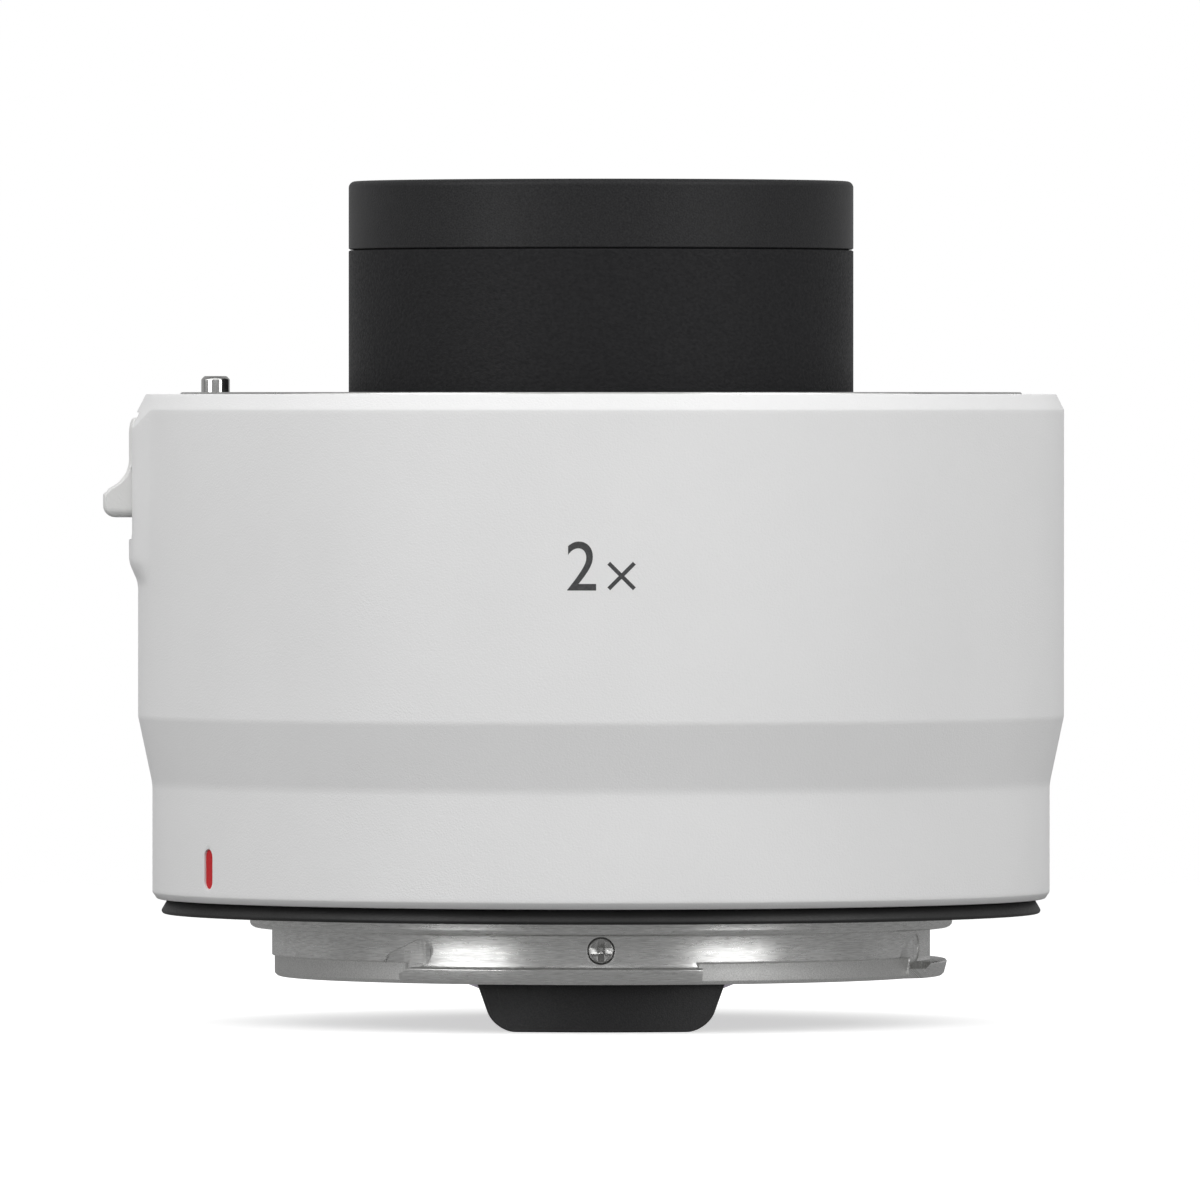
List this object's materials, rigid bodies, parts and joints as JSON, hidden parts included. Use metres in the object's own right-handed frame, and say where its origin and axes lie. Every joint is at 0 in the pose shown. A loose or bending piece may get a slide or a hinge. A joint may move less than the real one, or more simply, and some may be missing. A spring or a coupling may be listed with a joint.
{
  "type": "camera teleconverter",
  "caption": "White teleconverter with a bayonet on each side, a black nose that reaches into the lens, and a release lever that draws in the lock pin.",
  "frame": {"origin": "on the optical axis, in the plane of the camera-side flange", "axes": "+Z along the optical axis from camera to lens, -Y towards the side that is uppermost in use, -X towards the release lever"},
  "size_m": [0.0739, 0.0712, 0.0647],
  "materials": {
    "barrel_white": "white enamel with a fine grain",
    "index_red": "red paint in a recess",
    "cast_alloy": "as cast and machined",
    "mount_steel": "turned and brushed, bright edges",
    "ring_steel": "turned and polished",
    "screw_steel": "plated screws",
    "seal_rubber": "matt black rubber",
    "baffle_black": "fine black grain",
    "nose_black": "coarse black crackle paint",
    "nose_ring_black": "fine black paint",
    "cell_black": "black anodised",
    "coated_glass": "purple and green coatings",
    "contact_gold": "gold-plated contacts",
    "board_green": "solder mask",
    "chip_black": "moulded package",
    "strip_amber": "polyimide film",
    "spring_steel": "drawn wire and strip",
    "pin_steel": "ground and polished"
  },
  "bodies": {
    "housing": {"outer_barrel": "barrel_white", "camera_index_mark": "index_red", "lens_index_mark": "index_red", "inner_frame": "cast_alloy", "camera_mount_ring": "mount_steel", "camera_mount_screws": "screw_steel", "mount_seal": "seal_rubber", "rear_baffle": "baffle_black", "baffle_side_screws": "screw_steel", "rear_contact_block": "baffle_black", "rear_contact_pads": "contact_gold", "lens_mount_ring": "ring_steel", "lens_mount_screws": "screw_steel", "mount_leaf_springs": "spring_steel", "bayonet_stop_screw": "screw_steel", "throat_liner": "baffle_black", "nose_barrel": "nose_black", "nose_foot_screws": "screw_steel", "nose_front_ring": "nose_ring_black", "front_lens_cell": "cell_black", "front_retaining_ring": "cell_black", "front_spacer": "cell_black", "middle_lens_cell": "cell_black", "middle_upper_retainer": "cell_black", "middle_lower_retainer": "cell_black", "middle_cell_screws": "screw_steel", "rear_lens_cell": "cell_black", "rear_retaining_ring": "cell_black", "rear_cell_screws": "screw_steel", "contact_carrier": "baffle_black", "circuit_board": "board_green", "board_chips": "chip_black", "board_screws": "screw_steel", "rear_contact_strip": "strip_amber", "front_contact_strip": "strip_amber", "glass_1": "coated_glass", "glass_2": "coated_glass", "glass_3": "coated_glass", "glass_4": "coated_glass", "glass_5": "coated_glass", "glass_6": "coated_glass", "glass_7": "coated_glass", "glass_8": "coated_glass", "glass_9": "coated_glass"},
    "lever": {"release_lever": "barrel_white", "lever_slide": "spring_steel", "lever_screws": "screw_steel"},
    "lock_pin": {"lock_pin": "pin_steel", "lock_pin_spring": "spring_steel"},
    "contact_pins": {"contact_pins": "contact_gold", "contact_springs": "spring_steel"}
  },
  "joints": [
    {"name": "lever_travel", "type": "slide", "parent": "housing", "child": "lever", "axis": [0, 0, -1], "range_m": [0, 0.0015], "stiffness_N_per_m": 700, "springref_m": -0.002},
    {"name": "lock_pin_retract", "type": "slide", "parent": "housing", "child": "lock_pin", "axis": [0, 0, -1], "range_m": [0, 0.0015], "stiffness_N_per_m": 500, "springref_m": -0.002, "deforming": ["lock_pin_spring"]},
    {"name": "contact_pin_press", "type": "slide", "parent": "housing", "child": "contact_pins", "axis": [0, 0, -1], "range_m": [0, 0.0006], "stiffness_N_per_m": 2000, "springref_m": -0.0003, "deforming": ["contact_springs"]}
  ],
  "couplings": [
    {"joint": "lock_pin_retract", "follows": "lever_travel", "ratio": 1}
  ]
}
